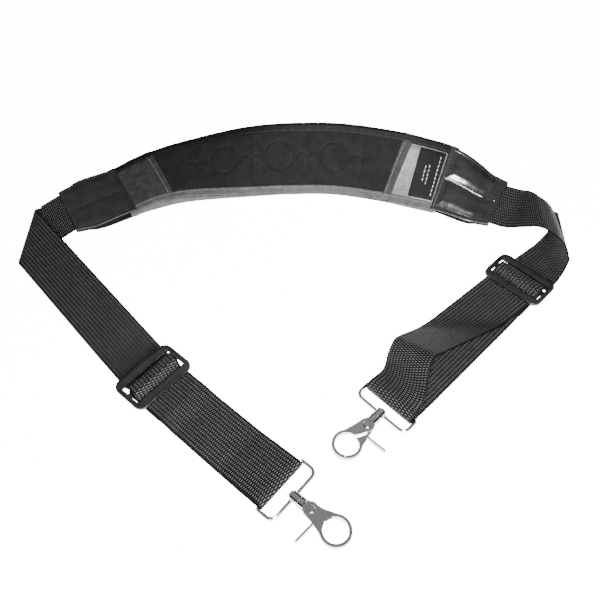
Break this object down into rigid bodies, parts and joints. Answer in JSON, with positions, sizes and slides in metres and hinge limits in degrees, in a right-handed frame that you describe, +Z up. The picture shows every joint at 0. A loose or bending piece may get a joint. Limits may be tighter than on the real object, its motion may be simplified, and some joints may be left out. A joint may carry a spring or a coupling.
{
  "type": "saxophone strap",
  "caption": "Padded shoulder strap with a curved quilted pad, webbing sides, tri-glide adjusters and swivel trigger hooks",
  "frame": {"origin": "centre of the bounding box's base, on the table the strap lies on", "axes": "+Z up from the table, +X along the longest spread of the strap, +Y towards the padded part"},
  "size_m": [0.5613, 0.4556, 0.0691],
  "materials": {
    "webbing": "black woven polypropylene webbing",
    "leatherette": "black leatherette, stitched",
    "suede": "dark suede-like cloth, embossed",
    "foam": "soft foam",
    "binding": "satin binding tape",
    "label": "woven label with a plain motif",
    "acetal": "moulded black plastic",
    "chrome": "nickel-plated die casting",
    "spring_steel": "bright spring wire"
  },
  "bodies": {
    "pad": {"pad_foam_core": "foam", "pad_backing": "suede", "face_panel_left": "suede", "face_quilted": "suede", "face_panel_right": "suede", "binding_front": "binding", "binding_back": "binding", "woven_label": "label", "tab_face_left": "leatherette", "tab_back_left": "leatherette", "tab_face_right": "leatherette", "tab_back_right": "leatherette", "webbing_upper_left": "webbing", "webbing_upper_right": "webbing"},
    "left tri-glide": {"tri_glide_left": "acetal"},
    "left loop": {"webbing_loop_left": "webbing"},
    "left frame": {"hook_frame_left": "chrome"},
    "left hook": {"swivel_pin_left": "chrome", "hook_body_left": "chrome", "hook_rivet_left": "chrome", "trigger_spring_left": "spring_steel"},
    "left lever": {"trigger_lever_left": "chrome"},
    "right tri-glide": {"tri_glide_right": "acetal"},
    "right loop": {"webbing_loop_right": "webbing"},
    "right frame": {"hook_frame_right": "chrome"},
    "right hook": {"swivel_pin_right": "chrome", "hook_body_right": "chrome", "hook_rivet_right": "chrome", "trigger_spring_right": "spring_steel"},
    "right lever": {"trigger_lever_right": "chrome"}
  },
  "joints": [
    {"name": "left tri-glide slide", "type": "slide", "parent": "pad", "child": "left tri-glide", "axis": [0.7575, -0.6528, 0], "range_m": [-0.045, 0.045], "deforming": ["webbing_upper_left"]},
    {"name": "left loop slide", "type": "slide", "parent": "left tri-glide", "child": "left loop", "axis": [-0.7575, 0.6528, 0], "range_m": [-0.0225, 0.0225], "deforming": ["webbing_loop_left"]},
    {"name": "left frame tilt", "type": "hinge", "parent": "left loop", "child": "left frame", "pos_m": [-0.00977, -0.17705, 0.0052], "axis": [0.6528, 0.7575, 0], "range_deg": [-90, 20]},
    {"name": "left hook swivel", "type": "hinge", "parent": "left frame", "child": "left hook", "pos_m": [-0.00977, -0.17705, 0.0052], "axis": [0.7575, -0.6528, 0], "continuous": true},
    {"name": "left trigger", "type": "hinge", "parent": "left hook", "child": "left lever", "pos_m": [0.01508, -0.19846, 0.0052], "axis": [0, 0, 1], "range_deg": [-35, 0], "stiffness_Nm_per_rad": 0.05, "springref_deg": 20.05},
    {"name": "right tri-glide slide", "type": "slide", "parent": "pad", "child": "right tri-glide", "axis": [-0.7117, -0.7025, 0], "range_m": [-0.002, 0.04], "deforming": ["webbing_upper_right"]},
    {"name": "right loop slide", "type": "slide", "parent": "right tri-glide", "child": "right loop", "axis": [0.7117, 0.7025, 0], "range_m": [-0.002, 0.02], "deforming": ["webbing_loop_right"]},
    {"name": "right frame tilt", "type": "hinge", "parent": "right loop", "child": "right frame", "pos_m": [0.08723, -0.10255, 0.0052], "axis": [0.7025, -0.7117, 0], "range_deg": [-90, 20]},
    {"name": "right hook swivel", "type": "hinge", "parent": "right frame", "child": "right hook", "pos_m": [0.08723, -0.10255, 0.0052], "axis": [-0.7117, -0.7025, 0], "continuous": true},
    {"name": "right trigger", "type": "hinge", "parent": "right hook", "child": "right lever", "pos_m": [0.06389, -0.12559, 0.0052], "axis": [0, 0, -1], "range_deg": [-35, 0], "stiffness_Nm_per_rad": 0.05, "springref_deg": 20.05}
  ],
  "couplings": [
    {"joint": "left loop slide", "follows": "left tri-glide slide", "ratio": 0.5},
    {"joint": "right loop slide", "follows": "right tri-glide slide", "ratio": 0.5}
  ]
}
